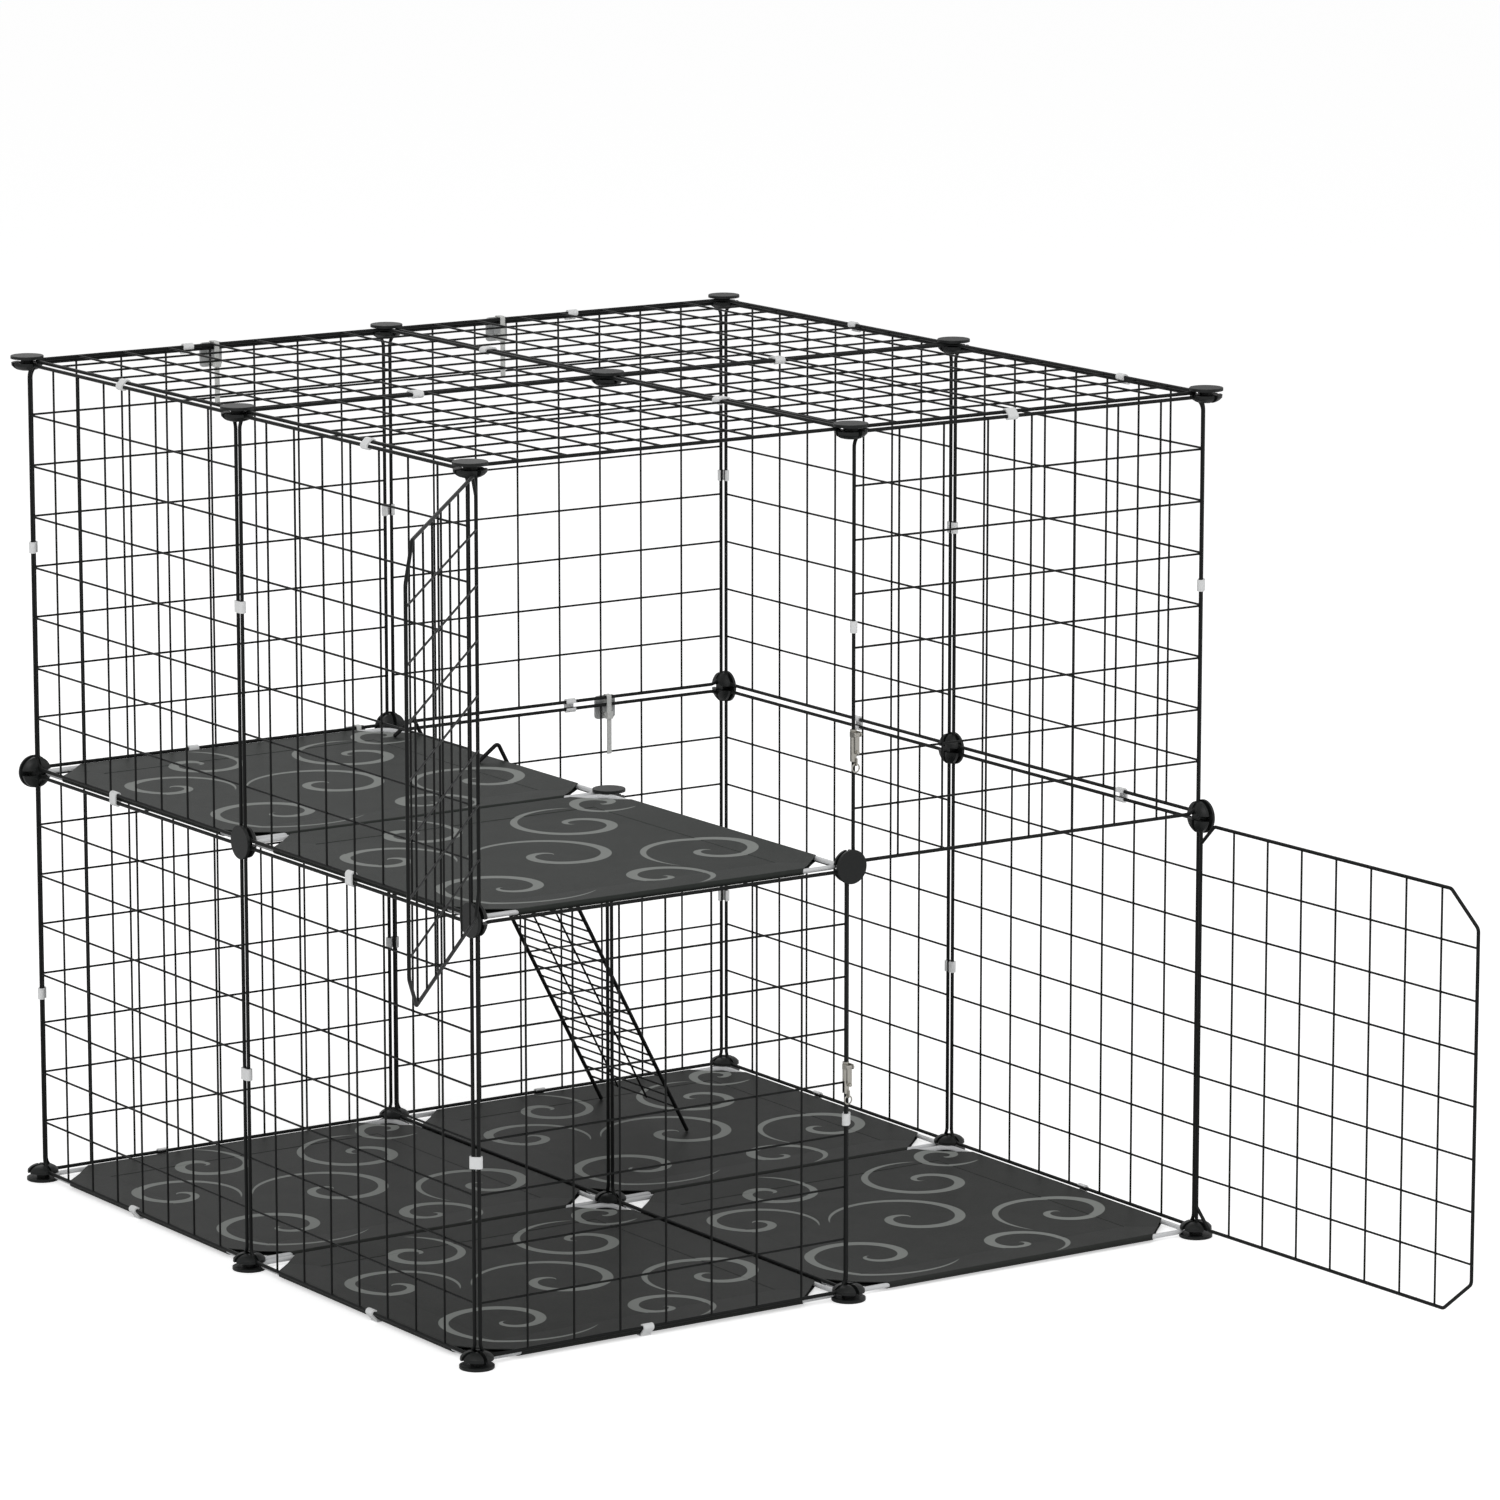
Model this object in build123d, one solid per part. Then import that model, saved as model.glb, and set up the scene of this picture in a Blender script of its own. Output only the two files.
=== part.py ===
from build123d import *
import os
from math import acos, atan2, cos, degrees, hypot, sin

# Two-storey cage of clipped wire panels, two by two rooms on each storey.
# Millimetres, +Z up, the front faces -Y. The origin is the middle of the centre foot's
# bottom face, where the cage stands on the floor.

os.makedirs("parts", exist_ok=True)

# Room grid
PANEL = 350.0  # outside size of a square wire panel
NODE_GAP = 1.75  # outside of a panel to the plane through the connectors
PITCH = PANEL + 2 * NODE_GAP  # connector to connector

# Wire panels
FRAME_WIRE_D = 3.0
MESH_WIRE_D = 1.8
CELLS = 8  # meshes along one side of a panel
WIRE_BEND_R = 12.0  # corner bend, to the wire's centre
WELD_OFFSET = 0.55  # each layer of mesh wires lies this far off the panel's plane
FRAME_R = FRAME_WIRE_D / 2
MESH_R = MESH_WIRE_D / 2
WIRE_EDGE = NODE_GAP + FRAME_R  # node plane to the centre of a panel's frame wire
FRAME_SPAN = PITCH - 2 * WIRE_EDGE
MESH_STEP = FRAME_SPAN / CELLS

# Floor and platform panels
ROD_D = 4.0
ROD_R = ROD_D / 2
ROD_EDGE = 5.0  # node plane to the centre of a rod
ROD_BEND_R = 12.0
ROD_SPAN = PITCH - 2 * ROD_EDGE
SHEET_T = 0.7
SLEEVE_CLEARANCE = 0.05
SLEEVE_INNER_R = ROD_R + SLEEVE_CLEARANCE
SLEEVE_OUTER_R = SLEEVE_INNER_R + SHEET_T
SEAM_IN = 38.0  # rod's centre to the edge of the sleeve's welded lap
SEAM_LAP = 3.0
SLEEVE_TIP_R = 0.05  # inside of the sleeve where its two layers meet
SHEET_CORNER_CUT = 36.0  # corner cut, measured along each rod

# Connectors
CAP_R = 14.0
CAP_T = 2.5
CAP_EDGE_R = 0.6
SEAT_CLEARANCE = 0.2  # each side of a wire in its groove or slot
WIRE_SEAT = FRAME_WIRE_D + 2 * SEAT_CLEARANCE
ROD_SEAT = ROD_D + 2 * SEAT_CLEARANCE
CORE_R = 5.5
CORE_DEPTH = 5.2  # node to the end of the solid core
DOME_R = 13.4
DOME_SHOULDER_R = 13.2
DOME_SHOULDER_H = 2.3
DOME_WAIST_R = 10.4
DOME_WAIST_H = 4.9
DOME_TIP_R = 6.0
DOME_H = 6.5
BASE_Z = ROD_SEAT / 2 + CAP_T  # floor to the lowest node plane
MID_Z = BASE_Z + PITCH
TOP_Z = MID_Z + PITCH

# Doors
HINGE_IN = 2.5  # post's node to the hinge line, along the front
HINGE_OUT = 4.0  # front node plane to the hinge line
DOOR_W = 345.0  # hinge line to the centre of the free wire
DOOR_EDGE = 5.0  # node plane to the centre of the door's top and bottom wires
DOOR_H = PITCH - 2 * DOOR_EDGE
HINGE_CORNER = 17.0
FREE_CORNER_W = 33.0
FREE_CORNER_H = 27.0
DOOR_BEND_R = 6.0
PIN_CLEARANCE = 0.08
PIN_END_GAP = 0.2  # end of a hinge pin to the bottom of its bore
BORE_R = FRAME_R + PIN_CLEARANCE
BORE_END_TOP = 2.2  # node to the bottom of the bore, for each kind of connector
BORE_END_MID = 3.5
BORE_END_BASE = 2.7
BORE_REACH = 20.0
UPPER_DOOR_OPEN = 130.3
LOWER_DOOR_OPEN = 91.6

# Ramp
RAIL_R = 1.75
RUNG_R = 0.9
RUNG_STEP = 11.2
RUNG_COUNT = 34
FIRST_RUNG = 22.0  # from the hook's peak, along the rail
NEAR_RAIL_Y = 166.0
FAR_RAIL_Y = 305.0
RAMP_TOP_X = 3.0  # where the rails pass the platform's node plane
RAMP_LOW_X = 184.6  # where they pass RAMP_LOW_RISE over the base node plane
RAMP_LOW_RISE = 8.0
REST_GAP = 0.1  # wire ends over the sheets that they stand on
HOOK_RISE = 17.0
HOOK_BEND_R = 3.0
HOOK_TIP_X = -24.5

# Clips
CLIP_LENGTH = 9.5
CLIP_WALL = 1.4
CLIP_CLEARANCE = 0.1
CLIP_MOUTH = 4.4
SINGLE_CLIP_MOUTH = 2.4
FLOOR_ARM = 6.0  # length of the flat arm under a floor rod

# Wall anchors, measured outwards from the node plane of the back
ANCHOR_SIZE = 21.0
ANCHOR_T = 2.0
ANCHOR_CORNER_R = 3.0
ANCHOR_FACE = 4.3  # plate's inner face
BRIDGE_OUT = 1.7  # the bridge's face on the wires
BRIDGE_T = 1.1
BRIDGE_H = 8.0
BRIDGE_POST = 1.6
TIE_W = 4.4
TIE_T = 1.1
TIE_CLEARANCE = 0.15
TIE_LOOP_H = 22.0
TIE_BEND_R = 1.0
TIE_HEAD_W = 6.0
TIE_HEAD_D = 4.4
TIE_HEAD_H = 6.4
TIE_TAIL = 32.0

# Clasps
CLASP_WIRE_CLEARANCE = 0.1
CLASP_BORE_R = FRAME_R + CLASP_WIRE_CLEARANCE
CLASP_R = 2.7
CLASP_L = 26.0
UPPER_CLASP_RISE = 98.2  # centre of each clasp over the node plane below it
LOWER_CLASP_RISE = 180.7
UPPER_CLASP_ROW = 2  # mesh row that each clasp hangs on, counted from below
LOWER_CLASP_ROW = 4
LEVER_OUT = 4.9  # wire's centre to the lever's pin
LEVER_PIN_R = 0.8
LEVER_PIN_CLEARANCE = 0.06
LEVER_DROP = 3.6  # top of the clasp to the lever's pin
LEVER_W = 4.2
LEVER_T = 1.5
LEVER_HUB_R = 1.5
LEVER_L = 16.0
LEVER_SIDE_GAP = 0.3
CHEEK_T = 1.2
CHEEK_R = 2.1
NUB_R = 1.5
NUB_OUT = 2.6
EYE_T = 1.2
EYE_R = 2.0
EYE_OUT = 3.4  # wire's centre to the eye's centre
EYE_LAP = 3.0  # how far the eye's root runs up the clasp
EYE_HOLE_R = 1.0
EYE_DROP = 1.3  # foot of the clasp to the eye's centre
RING_R = 3.4
RING_WIRE_R = 0.6
RING_GAP = 0.1


def write(name, shape):
    """Write one part, or one group of equal parts, under its node name."""
    shape.label = name
    export_step(shape, f"parts/{name}.step", write_pcurves=False)


def write_group(name, shapes):
    """Write several separate solids as one node."""
    write(name, Compound(children=[s for shape in shapes for s in shape.solids()]))


def rod(start, end, radius):
    """A round bar between two points."""
    axis = Vector(*end) - Vector(*start)
    return extrude(Plane(origin=start, z_dir=axis) * Circle(radius), axis.length)


def capsule_face(p, p_r, q, q_r):
    """The face inside a belt round two circles in XY."""
    outline = Pos(*p) * Circle(p_r)
    gap = hypot(q[0] - p[0], q[1] - p[1])
    if gap == 0:
        return outline
    along = atan2(q[1] - p[1], q[0] - p[0])
    lean = acos((p_r - q_r) / gap)
    corners = []
    for centre, radius, side in ((p, p_r, 1), (q, q_r, 1), (q, q_r, -1), (p, p_r, -1)):
        at = along + side * lean
        corners.append((centre[0] + radius * cos(at), centre[1] + radius * sin(at)))
    belt = make_face(Polyline(*corners, close=True))
    return outline + Pos(*q) * Circle(q_r) + belt


# Wire panels


def wire_ring(span, bend_r, wire_r):
    """A square ring of round wire in XY, centred on the origin."""
    path = RectangleRounded(span, span, bend_r).face().outer_wire()
    section = Plane(origin=path @ 0, z_dir=path % 0) * Circle(wire_r)
    return sweep(section, path=path)


def mesh_wires(width, height):
    """Two layers of mesh wires in XY, from corner (0, 0) to (width, height)."""
    wires = []
    for k in range(1, CELLS):
        x = width * k / CELLS
        y = height * k / CELLS
        wires.append(rod((x, 0, WELD_OFFSET), (x, height, WELD_OFFSET), MESH_R))
        wires.append(rod((0, y, -WELD_OFFSET), (width, y, -WELD_OFFSET), MESH_R))
    return wires


def wire_panel():
    """A welded mesh panel in XY, centred on the origin."""
    half = FRAME_SPAN / 2
    mesh = [Pos(-half, -half, 0) * wire for wire in mesh_wires(FRAME_SPAN, FRAME_SPAN)]
    return wire_ring(FRAME_SPAN, WIRE_BEND_R, FRAME_R) + mesh


HALF = PITCH / 2
LEFT_RIGHT = (("left", -1), ("right", 1))
FRONT_BACK = (("front", -1), ("back", 1))
LOWER_UPPER = (("lower", BASE_Z), ("upper", MID_Z))
DOORWAYS = (("left", "upper"), ("right", "lower"))

panel = wire_panel()
for side, sx in LEFT_RIGHT:
    for end, sy in FRONT_BACK:
        write(f"grid_top_{end}_{side}", Pos(sx * HALF, sy * HALF, TOP_Z) * panel)
    for storey, floor_z in LOWER_UPPER:
        room_z = floor_z + HALF
        for end, sy in FRONT_BACK:
            side_wall = Pos(sx * PITCH, sy * HALF, room_z) * Rot(0, 90, 0)
            write(f"grid_{side}_{storey}_{end}", side_wall * panel)
        write(f"grid_back_{storey}_{side}", Pos(sx * HALF, PITCH, room_z) * Rot(90, 0, 0) * panel)
        if (side, storey) not in DOORWAYS:
            front_wall = Pos(sx * HALF, -PITCH, room_z) * Rot(90, 0, 0)
            write(f"grid_front_{storey}_{side}", front_wall * panel)

open_frame = wire_ring(FRAME_SPAN, WIRE_BEND_R, FRAME_R)
for end, sy in FRONT_BACK:
    write(f"support_frame_{end}", Pos(0, sy * HALF, BASE_Z + HALF) * Rot(0, 90, 0) * open_frame)

# Floor and platform panels: a bent rod in the hem of a plastic sheet


def sleeve_side():
    """The hem round the rod at the -X edge, mitred at both ends."""
    outside = capsule_face((0, 0), SLEEVE_OUTER_R, (SEAM_IN - SHEET_T, 0), SHEET_T)
    inside = capsule_face((0, 0), SLEEVE_INNER_R, (SEAM_IN - SEAM_LAP, 0), SLEEVE_TIP_R)
    hem = Plane.XZ * (outside - inside)
    side = Pos(-ROD_SPAN / 2, 0, 0) * extrude(hem, ROD_SPAN / 2 + SLEEVE_OUTER_R, both=True)
    reach = ROD_SPAN / 2 + SLEEVE_OUTER_R + SHEET_T
    mitre = make_face(Polyline((0, 0), (-reach, reach), (-reach, -reach), close=True))
    return side & extrude(mitre, 2 * SLEEVE_OUTER_R, both=True)


def sheet():
    """The sheet with its four hems and cut corners, centred on the origin."""
    side = sleeve_side()
    middle = ROD_SPAN - 2 * SEAM_IN + SEAM_LAP
    cloth = Box(middle, middle, SHEET_T) + [Rot(0, 0, 90 * k) * side for k in range(4)]
    half = ROD_SPAN / 2
    out = half + SLEEVE_OUTER_R + SHEET_T
    cut = 2 * half - SHEET_CORNER_CUT
    corner = make_face(Polyline((out, cut - out), (out, out), (cut - out, out), close=True))
    blade = extrude(corner, 2 * SLEEVE_OUTER_R, both=True)
    return cloth - [Rot(0, 0, 90 * k) * blade for k in range(4)]


rod_ring = wire_ring(ROD_SPAN, ROD_BEND_R, ROD_R)
hemmed_sheet = sheet()
for end, sy in FRONT_BACK:
    for side, sx in LEFT_RIGHT:
        place = Pos(sx * HALF, sy * HALF, BASE_Z)
        write(f"floor_frame_{end}_{side}", place * rod_ring)
        write(f"floor_sheet_{end}_{side}", place * hemmed_sheet)
    place = Pos(-HALF, sy * HALF, MID_Z)
    write(f"platform_frame_{end}", place * rod_ring)
    write(f"platform_sheet_{end}", place * hemmed_sheet)

# Connectors: a cap, a groove for the panels in its plane, and a slotted dome


def connector(groove, slot_across_x=WIRE_SEAT, slot_across_y=WIRE_SEAT):
    """A connector on the origin with its cap towards +Z."""
    cap = Pos(0, 0, groove / 2 + CAP_T / 2) * Cylinder(CAP_R, CAP_T)
    cap = fillet(cap.edges().sort_by(Axis.Z)[-1], CAP_EDGE_R)
    core = rod((0, 0, groove / 2), (0, 0, -CORE_DEPTH), CORE_R)
    top = -groove / 2
    tip = top - DOME_H
    profile = make_face(
        [
            Polyline((0, tip), (0, top), (DOME_R, top), (DOME_SHOULDER_R, top - DOME_SHOULDER_H)),
            ThreePointArc(
                (DOME_SHOULDER_R, top - DOME_SHOULDER_H),
                (DOME_WAIST_R, top - DOME_WAIST_H),
                (DOME_TIP_R, tip),
            ),
            Line((DOME_TIP_R, tip), (0, tip)),
        ]
    )
    dome = revolve(Plane.XZ * profile, Axis.Z)
    slots = Box(slot_across_x, 3 * DOME_R, 4 * DOME_H) + Box(3 * DOME_R, slot_across_y, 4 * DOME_H)
    return cap + core + (dome - (slots - core))


LINE = (-PITCH, 0, PITCH)
OUT = {"-x": (-1, 0, 0), "+x": (1, 0, 0), "-y": (0, -1, 0), "+y": (0, 1, 0)}
# Which way each connector of the middle storey faces, by its (x, y) in pitches.
MID_FACING = {
    (-1, 1): "+y",
    (-1, 0): "-x",
    (-1, -1): "-x",
    (0, -1): "-y",
    (1, -1): "+x",
    (1, 0): "+x",
    (1, 1): "+x",
    (0, 1): "+y",
}
UPPER_HINGE = (-PITCH + HINGE_IN, -PITCH - HINGE_OUT)
LOWER_HINGE = (PITCH - HINGE_IN, -PITCH - HINGE_OUT)


def bore(hinge, bottom, direction):
    """The hole for a hinge pin, from its bottom towards its mouth."""
    return rod((*hinge, bottom), (*hinge, bottom + direction * BORE_REACH), BORE_R)


upper_bores = [
    bore(UPPER_HINGE, TOP_Z - BORE_END_TOP, -1),
    bore(UPPER_HINGE, MID_Z + BORE_END_MID, 1),
]
lower_bores = [
    bore(LOWER_HINGE, MID_Z - BORE_END_MID, -1),
    bore(LOWER_HINGE, BASE_Z + BORE_END_BASE, 1),
]


def bored(item, x, y):
    """The connector with the hinge bores of its post, if it has any."""
    if (x, y) == (-PITCH, -PITCH):
        return item - upper_bores
    if (x, y) == (PITCH, -PITCH):
        return item - lower_bores
    return item


top_connector = connector(WIRE_SEAT)
base_connector = Rot(180, 0, 0) * connector(ROD_SEAT)
centre_connector = connector(ROD_SEAT)
side_connector = connector(WIRE_SEAT, slot_across_x=ROD_SEAT)
tops = []
bases = []
middles = [Pos(0, 0, MID_Z) * centre_connector]
for x in LINE:
    for y in LINE:
        tops.append(bored(Pos(x, y, TOP_Z) * top_connector, x, y))
        bases.append(bored(Pos(x, y, BASE_Z) * base_connector, x, y))
for (ix, iy), facing in MID_FACING.items():
    x = ix * PITCH
    y = iy * PITCH
    seat = Plane(origin=(x, y, MID_Z), x_dir=(0, 0, 1), z_dir=OUT[facing])
    middles.append(bored(seat * side_connector, x, y))
write_group("connectors_top", tops)
write_group("connectors_middle", middles)
write_group("connectors_base", bases)

# Doors


def door(pin_bottom, pin_top):
    """A door in XZ with its hinge line on Z and its lower wire at z = 0."""
    outline = Polyline(
        (0, HINGE_CORNER),
        (HINGE_CORNER, 0),
        (DOOR_W - FREE_CORNER_W, 0),
        (DOOR_W, FREE_CORNER_H),
        (DOOR_W, DOOR_H - FREE_CORNER_H),
        (DOOR_W - FREE_CORNER_W, DOOR_H),
        (HINGE_CORNER, DOOR_H),
        (0, DOOR_H - HINGE_CORNER),
    )
    bends = [v for v in outline.vertices() if v.X > HINGE_CORNER / 2]
    path = outline.wire().fillet_2d(DOOR_BEND_R, bends)
    section = Plane(origin=path @ 0, z_dir=path % 0) * Circle(FRAME_R)
    rim = sweep(section, path=path)
    hinge_wire = rod((0, pin_bottom, 0), (0, pin_top, 0), FRAME_R)
    return Rot(90, 0, 0) * (rim + hinge_wire + mesh_wires(DOOR_W, DOOR_H))


upper_low_z = MID_Z + DOOR_EDGE
upper_door = door(
    MID_Z + BORE_END_MID + PIN_END_GAP - upper_low_z,
    TOP_Z - BORE_END_TOP - PIN_END_GAP - upper_low_z,
)
lower_low_z = BASE_Z + DOOR_EDGE
lower_door = door(
    BASE_Z + BORE_END_BASE + PIN_END_GAP - lower_low_z,
    MID_Z - BORE_END_MID - PIN_END_GAP - lower_low_z,
)
write("door_upper_left", Pos(*UPPER_HINGE, upper_low_z) * Rot(0, 0, -UPPER_DOOR_OPEN) * upper_door)
write(
    "door_lower_right",
    Pos(*LOWER_HINGE, lower_low_z) * Rot(0, 0, 180 + LOWER_DOOR_OPEN) * lower_door,
)

# Ramp: two hooked rails with rungs, welded


def sheet_top(inboard):
    """Height of a sheet's upper face over its rods' plane, over the hem."""
    slope = (SLEEVE_OUTER_R - SHEET_T) / (SEAM_IN - SHEET_T)
    return SLEEVE_OUTER_R - slope * inboard


slope = Vector(RAMP_LOW_X - RAMP_TOP_X, 0, RAMP_LOW_RISE - PITCH).normalized()
across = Vector(-slope.Z, 0, slope.X)
peak = Vector(RAMP_TOP_X, 0, MID_Z) - slope * (HOOK_RISE / -slope.Z)
tip_z = MID_Z + sheet_top(-HOOK_TIP_X - ROD_EDGE) + RAIL_R + REST_GAP
foot_z = BASE_Z + SHEET_T / 2 + RAIL_R + REST_GAP
foot = peak + slope * ((foot_z - peak.Z) / slope.Z)
tip = Vector(HOOK_TIP_X, 0, tip_z)


def rail(y):
    """One side rail of the ramp from the hook's tip to the foot."""
    line = Polyline((tip.X, tip.Z), (peak.X, peak.Z), (foot.X, foot.Z))
    bend = line.vertices().sort_by(Axis.Y)[-1]
    path = Plane.XZ * line.wire().fillet_2d(HOOK_BEND_R, [bend])
    section = Plane(origin=path @ 0, z_dir=path % 0) * Circle(RAIL_R)
    ends = [Pos(*end) * Sphere(RAIL_R) for end in (tip, foot)]
    return Pos(0, y, 0) * (sweep(section, path=path) + ends)


inner_step = (FAR_RAIL_Y - NEAR_RAIL_Y) / 3
first = peak + slope * FIRST_RUNG
last = first + slope * (RUNG_STEP * (RUNG_COUNT - 1))
pieces = [rail(FAR_RAIL_Y)]
for y in (NEAR_RAIL_Y + inner_step, FAR_RAIL_Y - inner_step):
    drop = Vector(0, y, 0) - across * WELD_OFFSET
    pieces.append(rod(first + drop, last + drop, RUNG_R))
for k in range(RUNG_COUNT):
    at = first + slope * (RUNG_STEP * k) + across * WELD_OFFSET
    pieces.append(rod(at + Vector(0, NEAR_RAIL_Y, 0), at + Vector(0, FAR_RAIL_Y, 0), RUNG_R))
write("ramp", rail(NEAR_RAIL_Y) + pieces)

# Clips round two neighbouring wires


def clip(p, p_r, q, q_r, mouth):
    """A clip round two bars along Z, open to the left of the way from p to q."""
    p_r += CLIP_CLEARANCE
    q_r += CLIP_CLEARANCE
    band = capsule_face(p, p_r + CLIP_WALL, q, q_r + CLIP_WALL) - capsule_face(p, p_r, q, q_r)
    turn = degrees(atan2(q[1] - p[1], q[0] - p[0]))
    reach = 3 * CLIP_MOUTH
    middle = Pos((p[0] + q[0]) / 2, (p[1] + q[1]) / 2) * Rot(0, 0, turn)
    opening = middle * Pos(0, reach / 2) * Rectangle(mouth, reach)
    return extrude(band - opening, CLIP_LENGTH / 2, both=True)


flat_clip = clip((-WIRE_EDGE, 0), FRAME_R, (WIRE_EDGE, 0), FRAME_R, CLIP_MOUTH)
corner_clip = clip((0, WIRE_EDGE), FRAME_R, (WIRE_EDGE, 0), FRAME_R, CLIP_MOUTH)
hem_clip = clip((0, WIRE_EDGE), FRAME_R, (ROD_EDGE, 0), SLEEVE_OUTER_R, CLIP_MOUTH)
hem_side = Pos(ROD_EDGE + ROD_BEND_R, 0, 0) * Box(2 * ROD_BEND_R, 2 * ROD_BEND_R, 2 * CLIP_LENGTH)
arm_y = -SLEEVE_OUTER_R - CLIP_CLEARANCE - CLIP_WALL / 2
floor_clip = (hem_clip - hem_side) + Pos(ROD_EDGE, arm_y, 0) * Box(FLOOR_ARM, CLIP_WALL, CLIP_LENGTH)
single_clip = clip((WIRE_EDGE, 0), FRAME_R, (WIRE_EDGE, 0), FRAME_R, SINGLE_CLIP_MOUTH)


def placed(item, origin, u, v):
    """A clip at a point, with its own X and Y along the directions u and v."""
    return Plane(origin=origin, x_dir=u, z_dir=Vector(*u).cross(Vector(*v))) * item


UP = (0, 0, 1)
DOWN = (0, 0, -1)
TO_RIGHT = (1, 0, 0)
TO_LEFT = (-1, 0, 0)
TO_BACK = (0, 1, 0)
TO_FRONT = (0, -1, 0)

top_clips = []
for x in (-200.3, 189.5):
    top_clips.append(placed(corner_clip, (x, PITCH, TOP_Z), TO_FRONT, DOWN))
for y in (-200.3, 190.5):
    top_clips.append(placed(corner_clip, (-PITCH, y, TOP_Z), TO_RIGHT, DOWN))
for y in (-243.5, 145.3):
    top_clips.append(placed(corner_clip, (PITCH, y, TOP_Z), TO_LEFT, DOWN))
top_clips.append(placed(corner_clip, (157.1, -PITCH, TOP_Z), TO_BACK, DOWN))
for at in (-186.6, 170.2):
    top_clips.append(placed(flat_clip, (at, 0, TOP_Z), TO_BACK, DOWN))
    top_clips.append(placed(flat_clip, (0, -at, TOP_Z), TO_RIGHT, DOWN))
write_group("clips_top", top_clips)

middle_clips = []
for y in (-170.2, 213.5):
    middle_clips.append(placed(flat_clip, (-PITCH, y, MID_Z), UP, TO_RIGHT))
for y in (-244.5, 142.4):
    middle_clips.append(placed(flat_clip, (PITCH, y, MID_Z), UP, TO_LEFT))
for x in (-199.3, 187.6):
    middle_clips.append(placed(flat_clip, (x, PITCH, MID_Z), UP, TO_FRONT))
write_group("clips_middle", middle_clips)

upper_clip_z = MID_Z + 193.9
lower_clip_z = BASE_Z + 160.0
clasp_clip_z = BASE_Z + 146.0
corner_posts = []
flat_posts = []
for z in (lower_clip_z, upper_clip_z):
    corner_posts.append(placed(corner_clip, (-PITCH, PITCH, z), TO_RIGHT, TO_FRONT))
    corner_posts.append(placed(corner_clip, (PITCH, PITCH, z), TO_LEFT, TO_FRONT))
    flat_posts.append(placed(flat_clip, (-PITCH, 0, z), TO_BACK, TO_RIGHT))
    flat_posts.append(placed(flat_clip, (PITCH, 0, z), TO_BACK, TO_LEFT))
    flat_posts.append(placed(flat_clip, (0, PITCH, z), TO_RIGHT, TO_FRONT))
corner_posts.append(placed(corner_clip, (-PITCH, -PITCH, lower_clip_z), TO_RIGHT, TO_BACK))
corner_posts.append(placed(corner_clip, (0, -PITCH, clasp_clip_z), TO_LEFT, TO_BACK))
corner_posts.append(placed(corner_clip, (PITCH, -PITCH, upper_clip_z), TO_LEFT, TO_BACK))
flat_posts.append(placed(single_clip, (0, -PITCH, upper_clip_z), TO_RIGHT, TO_BACK))
write_group("clips_corner_posts", corner_posts)
write_group("clips_flat_posts", flat_posts)

base_clips = []
for x in (-235.7, 153.2):
    base_clips.append(placed(floor_clip, (x, PITCH, BASE_Z), TO_FRONT, UP))
for y in (-194.4, 192.5):
    base_clips.append(placed(floor_clip, (-PITCH, y, BASE_Z), TO_RIGHT, UP))
for y in (-195.4, 203.3):
    base_clips.append(placed(floor_clip, (PITCH, y, BASE_Z), TO_LEFT, UP))
base_clips.append(placed(floor_clip, (-194.4, -PITCH, BASE_Z), TO_BACK, UP))
write_group("clips_base", base_clips)

# Wall anchors: a pad behind the back, tied to the wires in front of it


def anchor_pad():
    """The pad with its bridge in XZ, its outer face towards +Y."""
    plate = extrude(RectangleRounded(ANCHOR_SIZE, ANCHOR_SIZE, ANCHOR_CORNER_R), ANCHOR_T)
    plate = Pos(0, ANCHOR_FACE + ANCHOR_T, 0) * Rot(90, 0, 0) * plate
    inside = TIE_W + 4 * TIE_CLEARANCE
    width = inside + 2 * BRIDGE_POST
    depth = ANCHOR_FACE - BRIDGE_OUT
    block = Pos(0, BRIDGE_OUT + depth / 2, 0) * Box(width, depth, BRIDGE_H)
    tunnel_d = depth - BRIDGE_T
    tunnel = Pos(0, ANCHOR_FACE - tunnel_d / 2, 0) * Box(inside, tunnel_d, 2 * BRIDGE_H)
    return plate + (block - tunnel)


def tie(front, rise):
    """A tie round wires that reach from y = -front to +FRAME_R and up to z = rise."""
    y_low = -front - TIE_CLEARANCE - TIE_T
    y_high = ANCHOR_FACE - TIE_CLEARANCE
    z_high = rise + TIE_CLEARANCE + TIE_T
    depth = y_high - y_low
    outer = RectangleRounded(depth, TIE_LOOP_H, TIE_BEND_R + TIE_T)
    inner = RectangleRounded(depth - 2 * TIE_T, TIE_LOOP_H - 2 * TIE_T, TIE_BEND_R)
    centre = Pos((y_low + y_high) / 2, z_high - TIE_LOOP_H / 2)
    loop = extrude(Plane.YZ * (centre * (outer - inner)), TIE_W / 2, both=True)
    strap_y = y_low + TIE_T / 2
    head_z = z_high - TIE_LOOP_H + TIE_HEAD_H / 2
    head = Pos(0, strap_y, head_z) * Box(TIE_HEAD_W, TIE_HEAD_D, TIE_HEAD_H)
    head = fillet(head.edges().filter_by(Axis.X), TIE_T / 2)
    tail = Pos(0, strap_y, head_z - TIE_HEAD_H / 2 - TIE_TAIL / 2) * Box(TIE_W, TIE_T, TIE_TAIL)
    return loop + head + tail


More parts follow.
